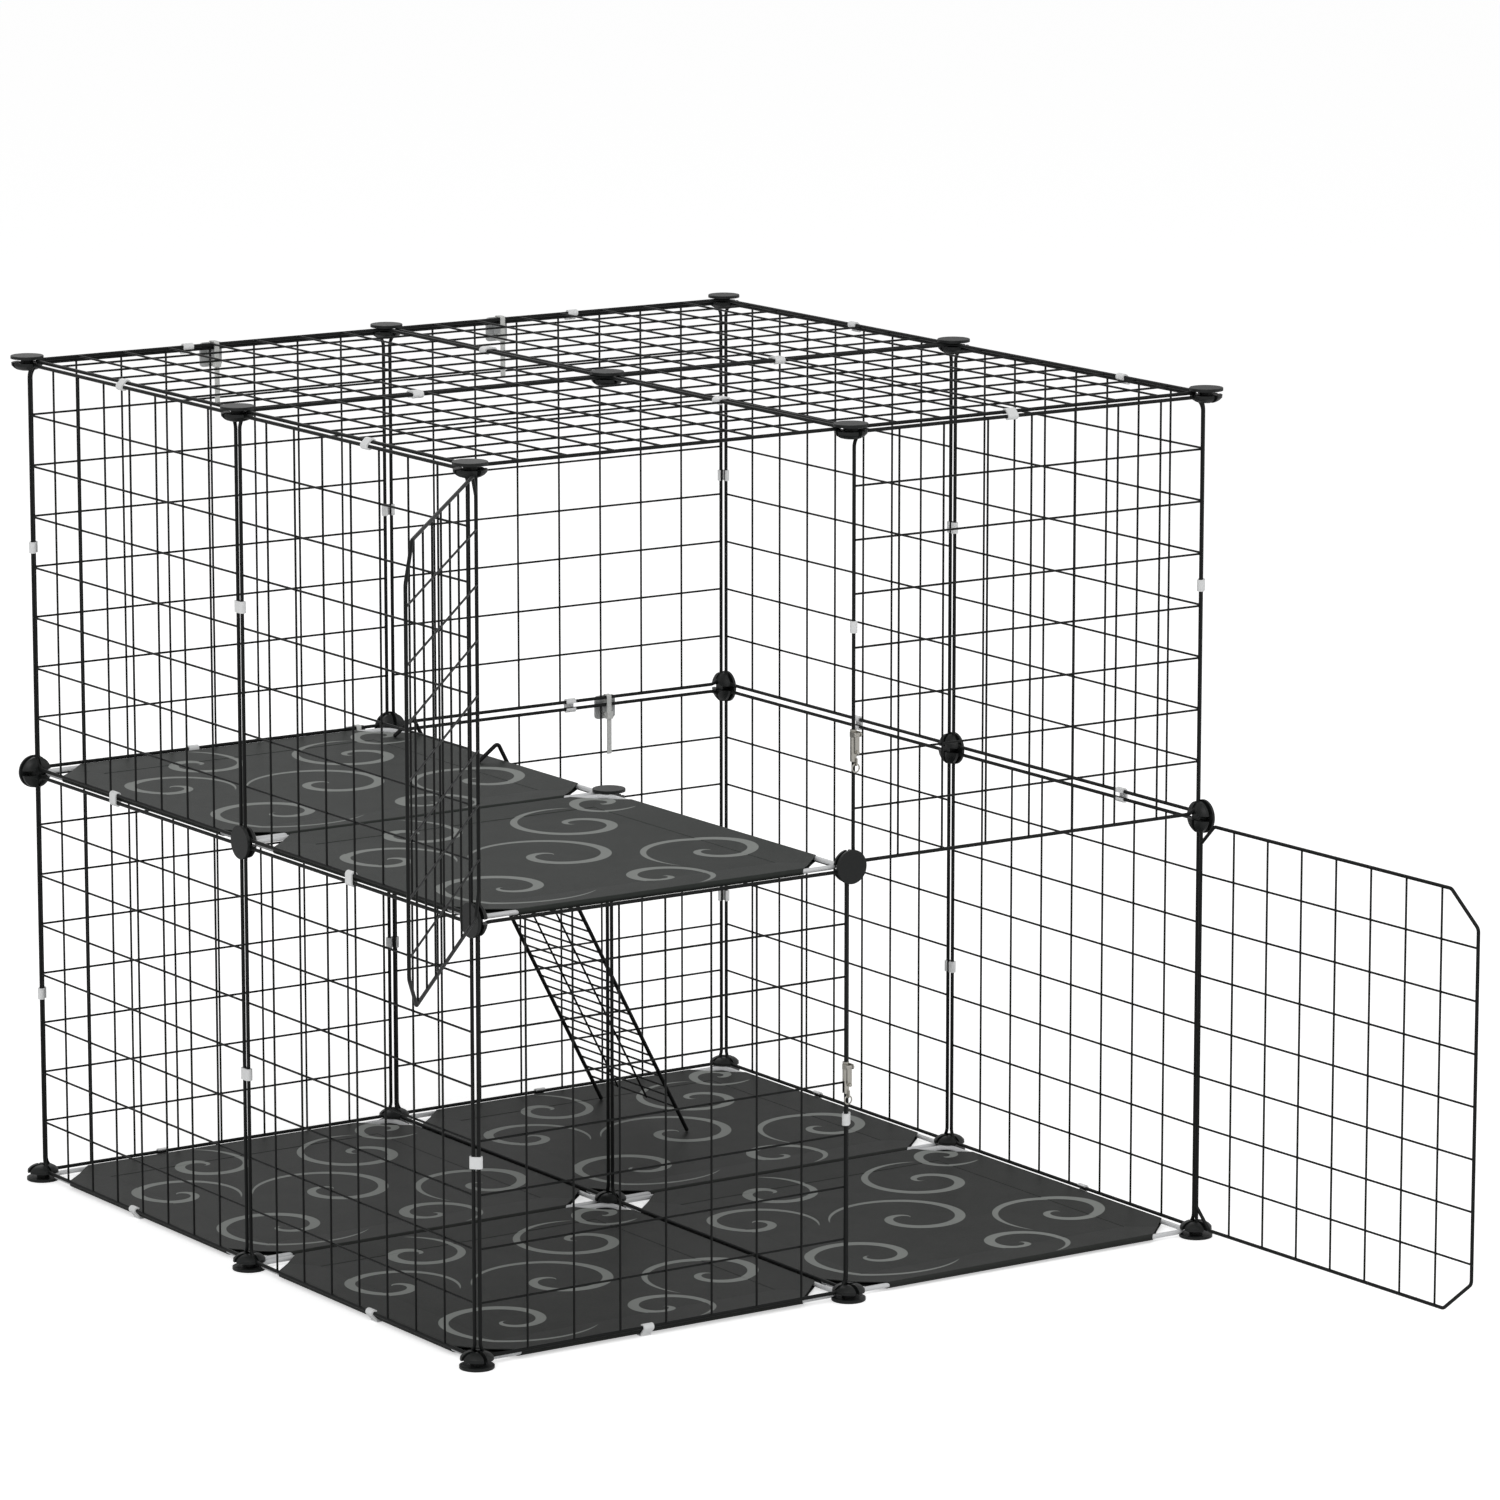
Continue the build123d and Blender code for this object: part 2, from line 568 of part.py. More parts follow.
edge_tie = tie(WIRE_EDGE + FRAME_R, FRAME_R)
seam_tie = tie(FRAME_R, WIRE_EDGE + FRAME_R)
pad = anchor_pad()
pads = []
ties = []
for x, z, strap, rise in (
    (-172.9, TOP_Z, edge_tie, FRAME_R),
    (115.9, TOP_Z, edge_tie, FRAME_R),
    (227.8, MID_Z, seam_tie, WIRE_EDGE + FRAME_R),
    (-33.4, MID_Z, seam_tie, WIRE_EDGE + FRAME_R),
):
    pads.append(Pos(x, PITCH, z + rise - TIE_LOOP_H / 2) * pad)
    ties.append(Pos(x, PITCH, z) * strap)
write_group("anchor_pads", pads)
write_group("anchor_ties", ties)

# Clasps, parked on the wires beside the doorways

LEVER_BORE_R = LEVER_PIN_R + LEVER_PIN_CLEARANCE
LEVER_PIN_HALF = LEVER_W / 2 + LEVER_SIDE_GAP + CHEEK_T
LEVER_PIN_Z = CLASP_L / 2 - LEVER_DROP
EYE_Z = -CLASP_L / 2 - EYE_DROP
RING_HANG = EYE_HOLE_R - RING_WIRE_R - RING_GAP


def clasp_body(row_z, mesh_side):
    """The clasp round a wire on Z; mesh_side is where the mesh row at row_z leaves it."""
    body = Cylinder(CLASP_R, CLASP_L)
    for side in (-1, 1):
        x = side * (LEVER_W / 2 + LEVER_SIDE_GAP + CHEEK_T / 2)
        ear = Pos(x, -LEVER_OUT, LEVER_PIN_Z) * Rot(0, 90, 0) * Cylinder(CHEEK_R, CHEEK_T)
        web = Pos(x, -LEVER_OUT / 2, LEVER_PIN_Z) * Box(CHEEK_T, LEVER_OUT, 2 * CHEEK_R)
        body += ear + web
    root_h = EYE_DROP + EYE_LAP
    body += Pos(0, -EYE_OUT, EYE_Z) * Rot(0, 90, 0) * Cylinder(EYE_R, EYE_T)
    body += Pos(0, -EYE_OUT, EYE_Z + root_h / 2) * Box(EYE_T, 2 * EYE_R, root_h)
    body -= Pos(0, -EYE_OUT, EYE_Z) * Rot(0, 90, 0) * Cylinder(EYE_HOLE_R, 2 * EYE_T)
    body -= Cylinder(CLASP_BORE_R, 2 * CLASP_L)
    pin_half = LEVER_PIN_HALF + CHEEK_T
    bore_start = (-pin_half, -LEVER_OUT, LEVER_PIN_Z)
    body -= rod(bore_start, (pin_half, -LEVER_OUT, LEVER_PIN_Z), LEVER_BORE_R)
    notch_top = row_z + MESH_R + CLASP_WIRE_CLEARANCE
    notch_h = notch_top + CLASP_L
    notch_w = 2 * (WELD_OFFSET + MESH_R + CLASP_WIRE_CLEARANCE)
    notch = Box(2 * CLASP_R, notch_w, notch_h)
    return body - Pos(mesh_side * CLASP_R, 0, notch_top - notch_h / 2) * notch


def lever():
    """The sprung lever, hanging from its pin in front of the clasp."""
    hub = Rot(0, 90, 0) * Cylinder(LEVER_HUB_R, LEVER_W)
    pin = Rot(0, 90, 0) * Cylinder(LEVER_PIN_R, 2 * LEVER_PIN_HALF)
    blade = Pos(0, 0, -LEVER_L / 2) * Box(LEVER_W, LEVER_T, LEVER_L)
    blade = fillet(blade.edges().filter_by(Axis.Y).group_by(Axis.Z)[0], LEVER_W / 3)
    nub = rod((0, 0, NUB_R - LEVER_L), (0, -NUB_OUT, NUB_R - LEVER_L), NUB_R)
    nub = fillet(nub.edges().sort_by(Axis.Y)[0], NUB_R / 2)
    return Pos(0, -LEVER_OUT, LEVER_PIN_Z) * (hub + pin + blade + nub)


def ring():
    """The small ring in the eye under the clasp."""
    return Pos(0, -EYE_OUT, EYE_Z - RING_HANG - RING_R) * Rot(90, 0, 0) * Torus(RING_R, RING_WIRE_R)


for storey, side, node_z, rise, row in (
    ("upper", 1, MID_Z, UPPER_CLASP_RISE, UPPER_CLASP_ROW),
    ("lower", -1, BASE_Z, LOWER_CLASP_RISE, LOWER_CLASP_ROW),
):
    row_z = WIRE_EDGE + row * MESH_STEP - rise
    place = Pos(side * WIRE_EDGE, -PITCH, node_z + rise)
    write(f"clasp_{storey}_body", place * clasp_body(row_z, side))
    write(f"clasp_{storey}_lever", place * lever())
    write(f"clasp_{storey}_ring", place * ring())
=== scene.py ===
import math

import bpy
from bpy.props import FloatProperty, FloatVectorProperty, PointerProperty
from bpy.types import Operator, Panel, PropertyGroup
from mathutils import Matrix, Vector

bl_info = {
    "name": "Wire Cat Cage Finishes",
    "version": (1, 0, 0),
    "blender": (4, 5, 0),
    "location": "View3D > Sidebar > Cat Cage",
    "description": "Finishes for a clipped wire-panel cage and a white studio to show it in",
    "category": "Material",
}

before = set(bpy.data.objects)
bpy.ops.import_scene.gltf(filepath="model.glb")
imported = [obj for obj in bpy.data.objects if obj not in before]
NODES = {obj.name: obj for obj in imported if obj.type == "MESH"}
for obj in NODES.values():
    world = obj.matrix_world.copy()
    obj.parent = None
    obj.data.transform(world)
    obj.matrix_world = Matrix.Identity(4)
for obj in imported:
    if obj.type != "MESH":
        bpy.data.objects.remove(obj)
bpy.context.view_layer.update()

# Noise scales, in turns per metre
DRIFT_SCALE = 14.0
PATCH_SCALE = 95.0
DUST_SCALE = 30.0
WEAR_SCALE = 260.0

# How the noises are cut and mixed
DRIFT_SHARE = 0.6  # of the tone; the rest is the patches
FINE_SPREAD = 0.5
DUST_THRESHOLD = 0.35
DUST_CONTRAST = 2.2
WEAR_THRESHOLD = 0.3
WEAR_CONTRAST = 2.4
WEAR_GAIN = 6.0
BEVEL_SAMPLES = 4
SCROLL_SOFT_EDGE = 0.0005  # metres
SCROLL_TAPER = 0.6
INK_RISE = 0.35  # of the sheet's relief

# Grain and relief in metres
SHEET_GRAIN = 0.0011
MOULD_GRAIN = 0.0006
PLATE_GRAIN = 0.0005
PLATE_EDGE = 0.0003
WIRE_RELIEF = 0.00006
ROD_RELIEF = 0.00003
SHEET_RELIEF = 0.00012
MOULD_RELIEF = 0.00005
PLATE_RELIEF = 0.00003
SOFT_DEPTH = 0.002  # how far light goes into white plastic
COAT_ROUGHNESS = 0.25

# Dust on each kind of surface
WIRE_DUST = (0.10, 0.10, 0.097)
ROD_DUST = (0.55, 0.54, 0.52)
SHEET_DUST = (0.22, 0.22, 0.21)
PLASTIC_DUST = (0.34, 0.34, 0.33)

# The studio
SKY_LIGHT = 0.45  # the white surround as a light; the camera sees it at full strength
FLOOR_GLOW = 0.55  # what the camera sees of the floor above its lit colour
FLOOR_ROUGHNESS = 0.9
LAMP_SIZE = 2.6
LAMP_AIM = (0.0, 0.0, 0.36)
LAMPS = (
    ("Key lamp", (-2.6, -2.2, 3.4), 60.0),
    ("Fill lamp", (3.2, -1.8, 2.2), 22.0),
    ("Back lamp", (0.8, 3.2, 3.0), 20.0),
)
SENSOR_WIDTH = 36.0
CAMERA_REACH = 200.0


# Settings


class WireSettings(PropertyGroup):
    coat: FloatVectorProperty(
        name="Wire coat",
        description="Colour of the powder coat on panels and doors",
        subtype="COLOR",
        size=3,
        default=(0.0060, 0.0068, 0.0066),
        min=0.0,
        max=1.0,
    )
    ramp_coat: FloatVectorProperty(
        name="Ramp coat",
        description="Colour of the powder coat on the ramp",
        subtype="COLOR",
        size=3,
        default=(0.0065, 0.0070, 0.0070),
        min=0.0,
        max=1.0,
    )
    rod_coat: FloatVectorProperty(
        name="Rod coat",
        description="Colour of the plastic coat on the floor and platform rods",
        subtype="COLOR",
        size=3,
        default=(0.80, 0.81, 0.82),
        min=0.0,
        max=1.0,
    )
    grain: FloatProperty(
        name="Coat grain",
        description="Size of the orange peel in the coats",
        unit="LENGTH",
        default=0.0009,
        min=0.0001,
    )


class SheetSettings(PropertyGroup):
    platform: FloatVectorProperty(
        name="Platform sheet",
        description="Ground colour of the platform sheets",
        subtype="COLOR",
        size=3,
        default=(0.026, 0.030, 0.027),
        min=0.0,
        max=1.0,
    )
    # The floor sheets are the same plastic as the platform sheets; their colour is a touch darker as painted
    # shade, because they lie lower and in shadow
    floor: FloatVectorProperty(
        name="Floor sheet",
        description="Ground colour of the floor sheets",
        subtype="COLOR",
        size=3,
        default=(0.026, 0.028, 0.026),
        min=0.0,
        max=1.0,
    )
    scroll: FloatVectorProperty(
        name="Scrolls",
        description="Colour of the printed scrolls",
        subtype="COLOR",
        size=3,
        default=(0.27, 0.285, 0.27),
        min=0.0,
        max=1.0,
    )
    band: FloatProperty(
        name="Scroll band",
        description="Width of a scroll at its broadest",
        unit="LENGTH",
        default=0.0100,
        min=0.001,
    )
    pitch: FloatProperty(
        name="Print repeat",
        description="Distance after which the print repeats, one room",
        unit="LENGTH",
        default=0.3535,
        min=0.05,
    )


class PlasticSettings(PropertyGroup):
    connector: FloatVectorProperty(
        name="Connectors",
        description="Colour of the moulded connectors",
        subtype="COLOR",
        size=3,
        default=(0.012, 0.0132, 0.0130),
        min=0.0,
        max=1.0,
    )
    clip: FloatVectorProperty(
        name="Clips",
        description="Colour of the wire clips",
        subtype="COLOR",
        size=3,
        default=(0.86, 0.87, 0.87),
        min=0.0,
        max=1.0,
    )
    pad: FloatVectorProperty(
        name="Wall pads",
        description="Colour of the wall pads",
        subtype="COLOR",
        size=3,
        default=(0.50, 0.51, 0.51),
        min=0.0,
        max=1.0,
    )
    tie: FloatVectorProperty(
        name="Ties",
        description="Colour of the nylon ties",
        subtype="COLOR",
        size=3,
        default=(0.66, 0.67, 0.65),
        min=0.0,
        max=1.0,
    )
    edge: FloatProperty(
        name="Worn edge",
        description="Width of the lighter rub along moulded edges",
        unit="LENGTH",
        default=0.0005,
        min=0.0001,
    )


class ClaspSettings(PropertyGroup):
    plate: FloatVectorProperty(
        name="Clasps",
        description="Colour of the nickel plate",
        subtype="COLOR",
        size=3,
        default=(0.60, 0.58, 0.53),
        min=0.0,
        max=1.0,
    )
    roughness: FloatProperty(
        name="Polish",
        description="Roughness of the nickel plate",
        subtype="FACTOR",
        default=0.28,
        min=0.0,
        max=1.0,
    )


class StageSettings(PropertyGroup):
    camera_at: FloatVectorProperty(
        name="Camera",
        description="Where the camera stands",
        subtype="TRANSLATION",
        size=3,
        default=(-3.1736, -4.9058, 1.5405),
    )
    azimuth: FloatProperty(
        name="Azimuth",
        description="Turn of the camera round the cage",
        subtype="ANGLE",
        default=math.radians(-34.06),
    )
    elevation: FloatProperty(
        name="Elevation",
        description="How far the camera looks down",
        subtype="ANGLE",
        default=math.radians(11.09),
    )
    lens: FloatProperty(
        name="Lens",
        description="Focal length in millimetres",
        default=170.45,
        min=10.0,
    )
    floor_colour: FloatVectorProperty(
        name="Floor",
        description="Colour of the studio floor",
        subtype="COLOR",
        size=3,
        default=(0.96, 0.96, 0.96),
        min=0.0,
        max=1.0,
    )
    floor_size: FloatProperty(
        name="Floor size",
        description="Side of the square studio floor",
        unit="LENGTH",
        default=60.0,
        min=1.0,
    )


# Shader node groups


def math_node(tree, operation, a, b=None, c=None, clamp=False):
    """A Math node; a, b and c are sockets or numbers. Returns its output."""
    node = tree.nodes.new("ShaderNodeMath")
    node.operation = operation
    node.use_clamp = clamp
    for socket, value in zip(node.inputs, (a, b, c)):
        if value is None:
            continue
        if isinstance(value, bpy.types.NodeSocket):
            tree.links.new(value, socket)
        else:
            socket.default_value = value
    return node.outputs[0]


def new_group(name, inputs, outputs):
    """An empty shader node group with named sockets, as (tree, inputs, outputs)."""
    tree = bpy.data.node_groups.new(name, "ShaderNodeTree")
    for label, kind, value in inputs:
        socket = tree.interface.new_socket(name=label, in_out="INPUT", socket_type=kind)
        if value is not None:
            socket.default_value = value
    for label, kind in outputs:
        tree.interface.new_socket(name=label, in_out="OUTPUT", socket_type=kind)
    return (
        tree,
        tree.nodes.new("NodeGroupInput").outputs,
        tree.nodes.new("NodeGroupOutput").inputs,
    )


def noise(tree, vector, scale, detail, rough=0.5):
    """A noise value over a vector. Scale is a number or a socket."""
    node = tree.nodes.new("ShaderNodeTexNoise")
    node.inputs["Detail"].default_value = detail
    node.inputs["Roughness"].default_value = rough
    if isinstance(scale, bpy.types.NodeSocket):
        tree.links.new(scale, node.inputs["Scale"])
    else:
        node.inputs["Scale"].default_value = scale
    tree.links.new(vector, node.inputs["Vector"])
    return node.outputs["Fac"]


def coat_grain_group():
    """Orange peel and slow tone drift of a sprayed or moulded surface."""
    tree, inp, out = new_group(
        "Coat grain",
        (("Vector", "NodeSocketVector", None), ("Grain", "NodeSocketFloat", 0.001)),
        (("Tone", "NodeSocketFloat"), ("Fine", "NodeSocketFloat"), ("Height", "NodeSocketFloat")),
    )
    fine_scale = math_node(tree, "DIVIDE", 1.0, inp["Grain"])
    fine = noise(tree, inp["Vector"], fine_scale, detail=2.0)
    drift = noise(tree, inp["Vector"], DRIFT_SCALE, detail=3.0)
    patch = noise(tree, inp["Vector"], PATCH_SCALE, detail=4.0, rough=0.6)
    patches = math_node(tree, "MULTIPLY", patch, 1.0 - DRIFT_SHARE)
    tone = math_node(tree, "MULTIPLY_ADD", drift, DRIFT_SHARE, patches)
    centred = math_node(tree, "MULTIPLY_ADD", fine, FINE_SPREAD, (1.0 - FINE_SPREAD) / 2)
    tree.links.new(tone, out["Tone"])
    tree.links.new(centred, out["Fine"])
    tree.links.new(fine, out["Height"])
    return tree


def dust_group():
    """Thin dust on faces that look up, broken up by noise."""
    tree, inp, out = new_group(
        "Settled dust",
        (("Vector", "NodeSocketVector", None), ("Cover", "NodeSocketFloat", 0.3)),
        (("Mask", "NodeSocketFloat"),),
    )
    geometry = tree.nodes.new("ShaderNodeNewGeometry")
    split = tree.nodes.new("ShaderNodeSeparateXYZ")
    tree.links.new(geometry.outputs["Normal"], split.inputs[0])
    up = math_node(tree, "MULTIPLY", split.outputs["Z"], 1.0, clamp=True)
    cloud = noise(tree, inp["Vector"], DUST_SCALE, detail=5.0, rough=0.65)
    above = math_node(tree, "SUBTRACT", cloud, DUST_THRESHOLD)
    patchy = math_node(tree, "MULTIPLY", above, DUST_CONTRAST, clamp=True)
    lying = math_node(tree, "MULTIPLY", up, patchy)
    tree.links.new(math_node(tree, "MULTIPLY", lying, inp["Cover"], clamp=True), out["Mask"])
    return tree


def edge_wear_group():
    """Rubbed edges: where a rounded normal leaves the true one, broken up by noise."""
    tree, inp, out = new_group(
        "Edge wear",
        (("Vector", "NodeSocketVector", None), ("Width", "NodeSocketFloat", 0.0005)),
        (("Mask", "NodeSocketFloat"),),
    )
    bevel = tree.nodes.new("ShaderNodeBevel")
    bevel.samples = BEVEL_SAMPLES
    tree.links.new(inp["Width"], bevel.inputs["Radius"])
    geometry = tree.nodes.new("ShaderNodeNewGeometry")
    dot = tree.nodes.new("ShaderNodeVectorMath")
    dot.operation = "DOT_PRODUCT"
    tree.links.new(bevel.outputs[0], dot.inputs[0])
    tree.links.new(geometry.outputs["Normal"], dot.inputs[1])
    bent = math_node(tree, "SUBTRACT", 1.0, dot.outputs["Value"])
    strong = math_node(tree, "MULTIPLY", bent, WEAR_GAIN, clamp=True)
    cloud = noise(tree, inp["Vector"], WEAR_SCALE, detail=4.0, rough=0.6)
    above = math_node(tree, "SUBTRACT", cloud, WEAR_THRESHOLD)
    broken = math_node(tree, "MULTIPLY", above, WEAR_CONTRAST, clamp=True)
    tree.links.new(math_node(tree, "MULTIPLY", strong, broken), out["Mask"])
    return tree


def one_scroll_group():
    """One printed spiral: a tapered band winding about a centre."""
    tree, inp, out = new_group(
        "One scroll",
        (
            ("X", "NodeSocketFloat", 0.0),
            ("Y", "NodeSocketFloat", 0.0),
            ("Centre X", "NodeSocketFloat", 0.0),
            ("Centre Y", "NodeSocketFloat", 0.0),
            ("Size", "NodeSocketFloat", 0.06),
            ("Spacing", "NodeSocketFloat", 0.03),
            ("Start", "NodeSocketFloat", 0.0),
            ("Hand", "NodeSocketFloat", 1.0),
            ("Band", "NodeSocketFloat", 0.01),
        ),
        (("Mask", "NodeSocketFloat"),),
    )
    dx = math_node(tree, "SUBTRACT", inp["X"], inp["Centre X"])
    dy = math_node(tree, "SUBTRACT", inp["Y"], inp["Centre Y"])
    squares = math_node(tree, "ADD", math_node(tree, "MULTIPLY", dx, dx), math_node(tree, "MULTIPLY", dy, dy))
    reach = math_node(tree, "SQRT", squares)
    angle = math_node(tree, "DIVIDE", math_node(tree, "ARCTAN2", dy, dx), 2 * math.pi)
    wound = math_node(tree, "ADD", math_node(tree, "MULTIPLY", angle, inp["Hand"]), inp["Start"])
    arm = math_node(tree, "SUBTRACT", math_node(tree, "DIVIDE", reach, inp["Spacing"]), wound)
    across = math_node(tree, "SUBTRACT", math_node(tree, "FLOORED_MODULO", arm, 1.0), 0.5)
    off = math_node(tree, "MULTIPLY", math_node(tree, "ABSOLUTE", across), inp["Spacing"])
    share = math_node(tree, "DIVIDE", reach, inp["Size"], clamp=True)
    swell = math_node(tree, "SINE", math_node(tree, "MULTIPLY", share, math.pi))
    swell = math_node(tree, "POWER", math_node(tree, "MAXIMUM", swell, 0.0), SCROLL_TAPER)
    half = math_node(tree, "MULTIPLY", math_node(tree, "MULTIPLY", inp["Band"], 0.5), swell)
    inside = math_node(tree, "SUBTRACT", half, off)
    tree.links.new(math_node(tree, "DIVIDE", inside, SCROLL_SOFT_EDGE, clamp=True), out["Mask"])
    return tree


# Centre, size, spacing, start and hand of each scroll in one room's print.
SCROLLS = (
    (0.082, 0.086, 0.074, 0.050, 0.10, 1),
    (0.208, 0.052, 0.046, 0.036, 0.55, -1),
    (0.296, 0.112, 0.064, 0.046, 0.30, 1),
    (0.060, 0.226, 0.056, 0.041, 0.75, -1),
    (0.180, 0.168, 0.070, 0.052, 0.40, 1),
    (0.262, 0.262, 0.062, 0.045, 0.05, -1),
    (0.128, 0.300, 0.048, 0.037, 0.60, 1),
    (0.322, 0.318, 0.034, 0.029, 0.85, 1),
)


def scroll_print_group(scroll):
    """A field of scrolls that repeats from room to room."""
    tree, inp, out = new_group(
        "Scroll print",
        (
            ("Vector", "NodeSocketVector", None),
            ("Repeat", "NodeSocketFloat", 0.3535),
            ("Band", "NodeSocketFloat", 0.01),
        ),
        (("Mask", "NodeSocketFloat"),),
    )
    split = tree.nodes.new("ShaderNodeSeparateXYZ")
    tree.links.new(inp["Vector"], split.inputs[0])
    x = math_node(tree, "FLOORED_MODULO", split.outputs["X"], inp["Repeat"])
    y = math_node(tree, "FLOORED_MODULO", split.outputs["Y"], inp["Repeat"])
    mask = None
    for centre_x, centre_y, size, spacing, start, hand in SCROLLS:
        node = tree.nodes.new("ShaderNodeGroup")
        node.node_tree = scroll
        tree.links.new(x, node.inputs["X"])
        tree.links.new(y, node.inputs["Y"])
        tree.links.new(inp["Band"], node.inputs["Band"])
        node.inputs["Centre X"].default_value = centre_x
        node.inputs["Centre Y"].default_value = centre_y
        node.inputs["Size"].default_value = size
        node.inputs["Spacing"].default_value = spacing
        node.inputs["Start"].default_value = start
        node.inputs["Hand"].default_value = hand
        mask = node.outputs[0] if mask is None else math_node(tree, "MAXIMUM", mask, node.outputs[0])
    tree.links.new(mask, out["Mask"])
    return tree


GROUPS = {}


def group_tree(name):
    """The shared node group of that name, built once."""
    if name not in GROUPS:
        if name == "Scroll print":
            GROUPS[name] = scroll_print_group(one_scroll_group())
        else:
            GROUPS[name] = {
                "Coat grain": coat_grain_group,
                "Settled dust": dust_group,
                "Edge wear": edge_wear_group,
            }[name]()
    return GROUPS[name]


# Materials


class Finish:
    """A material under construction: its tree, shader and object coordinates."""

    def __init__(self, name, roughness, metallic=0.0, coat=0.0, gloss=0.5):
        self.material = bpy.data.materials.new(name)
        self.material.use_nodes = True
        self.tree = self.material.node_tree
        self.shader = self.tree.nodes["Principled BSDF"]
        self.shader.inputs["Roughness"].default_value = roughness
        self.shader.inputs["Metallic"].default_value = metallic
        self.shader.inputs["Coat Weight"].default_value = coat
        self.shader.inputs["Coat Roughness"].default_value = COAT_ROUGHNESS
        self.shader.inputs["Specular IOR Level"].default_value = gloss
        self.place = self.tree.nodes.new("ShaderNodeTexCoord").outputs["Object"]

    def group(self, name, **values):
        """A shared group in this material, with its own values."""
        node = self.tree.nodes.new("ShaderNodeGroup")
        node.node_tree = group_tree(name)
        self.tree.links.new(self.place, node.inputs["Vector"])
        for label, value in values.items():
            node.inputs[label.capitalize()].default_value = value
        return node.outputs

    def mix(self, factor, a, b):
        """Colour a to b by a mask."""
        node = self.tree.nodes.new("ShaderNodeMix")
        node.data_type = "RGBA"
        self.tree.links.new(factor, node.inputs["Factor"])
        for socket, value in ((node.inputs["A"], a), (node.inputs["B"], b)):
            if isinstance(value, bpy.types.NodeSocket):
                self.tree.links.new(value, socket)
            else:
                socket.default_value = (*value, 1.0)
        return node.outputs["Result"]

    def colour(self, socket):
        self.tree.links.new(socket, self.shader.inputs["Base Color"])

    def tones(self, factor, colour, darkest, lightest):
        """A colour that wanders between a darker and a lighter tone of itself."""
        return self.mix(factor, shade(colour, darkest), shade(colour, lightest))

    def dusted(self, colour, cover, dust):
        """A colour under a thin cover of dust."""
        return self.mix(self.group("Settled dust", cover=cover)["Mask"], colour, dust)

    def roughness(self, value, low, high):
        """Roughness from low to high as value goes from 0 to 1."""
        spread = math_node(self.tree, "MULTIPLY_ADD", value, high - low, low)
        self.tree.links.new(spread, self.shader.inputs["Roughness"])

    def bump(self, height, depth):
        """Relief of a depth in metres."""
        node = self.tree.nodes.new("ShaderNodeBump")
        node.inputs["Distance"].default_value = depth
        self.tree.links.new(height, node.inputs["Height"])
        self.tree.links.new(node.outputs[0], self.shader.inputs["Normal"])


def shade(colour, factor):
    """A colour made lighter or darker."""
    return tuple(min(1.0, c * factor) for c in colour)


def powder_coat(name, colour, grain, rough=(0.36, 0.52)):
    """Sprayed coat on wire: orange peel, uneven gloss and a trace of dust."""
    finish = Finish(name, rough[0], gloss=0.2)
    coat = finish.group("Coat grain", grain=grain)
    ground = finish.tones(coat["Tone"], colour, darkest=0.7, lightest=1.45)
    finish.colour(finish.dusted(ground, cover=0.05, dust=WIRE_DUST))
    finish.roughness(coat["Fine"], *rough)
    finish.bump(coat["Height"], WIRE_RELIEF)
    return finish.material


def rod_coat(colour, grain):
    """Dipped plastic coat of the rods: smooth, a little yellowed and scuffed."""
    finish = Finish("White rod coat", 0.4, coat=0.2)
    coat = finish.group("Coat grain", grain=grain)
    ground = finish.tones(coat["Tone"], colour, darkest=0.93, lightest=1.03)
    finish.colour(finish.dusted(ground, cover=0.18, dust=ROD_DUST))
    finish.roughness(coat["Fine"], low=0.3, high=0.46)
    finish.bump(coat["Height"], ROD_RELIEF)
    return finish.material


def printed_sheet(name, ground, scroll, band, repeat):
    """Dark plastic sheet with printed scrolls, a fine calendered grain and dust."""
    finish = Finish(name, 0.45, gloss=0.12)
    coat = finish.group("Coat grain", grain=SHEET_GRAIN)
    print_mask = finish.group("Scroll print", repeat=repeat, band=band)["Mask"]
    base = finish.tones(coat["Tone"], ground, darkest=0.86, lightest=1.14)
    ink = finish.tones(coat["Fine"], scroll, darkest=0.9, lightest=1.1)
    printed = finish.mix(print_mask, base, ink)
    finish.colour(finish.dusted(printed, cover=0.05, dust=SHEET_DUST))
    finish.roughness(coat["Fine"], low=0.36, high=0.56)
    finish.bump(math_node(finish.tree, "MULTIPLY_ADD", print_mask, INK_RISE, coat["Height"]), SHEET_RELIEF)
    return finish.material


def moulded_plastic(name, colour, edge, rub, rough, cover, soft=0.0, gloss=0.5):
    """Moulded plastic with a fine spark texture; rub is how much lighter its edges are."""
    finish = Finish(name, rough[0], gloss=gloss)
    finish.shader.inputs["Subsurface Weight"].default_value = soft
    finish.shader.inputs["Subsurface Radius"].default_value = (SOFT_DEPTH, SOFT_DEPTH, SOFT_DEPTH)
    coat = finish.group("Coat grain", grain=MOULD_GRAIN)
    wear = finish.group("Edge wear", width=edge)
    ground = finish.tones(coat["Tone"], colour, darkest=0.85, lightest=1.15)
    worn = finish.mix(wear["Mask"], ground, shade(colour, rub))
    finish.colour(finish.dusted(worn, cover=cover, dust=PLASTIC_DUST))
    finish.roughness(coat["Fine"], *rough)
    finish.bump(coat["Height"], MOULD_RELIEF)
    return finish.material


def nickel_plate(colour, roughness):
    """Warm plated metal with fine tarnish and brighter edges."""
    finish = Finish("Nickel plate", roughness, metallic=1.0)
    coat = finish.group("Coat grain", grain=PLATE_GRAIN)
    wear = finish.group("Edge wear", width=PLATE_EDGE)
    ground = finish.tones(coat["Tone"], colour, darkest=0.72, lightest=1.12)
    finish.colour(finish.mix(wear["Mask"], ground, shade(colour, 1.4)))
    finish.roughness(coat["Fine"], low=roughness - 0.08, high=roughness + 0.14)
    finish.bump(coat["Height"], PLATE_RELIEF)
    return finish.material


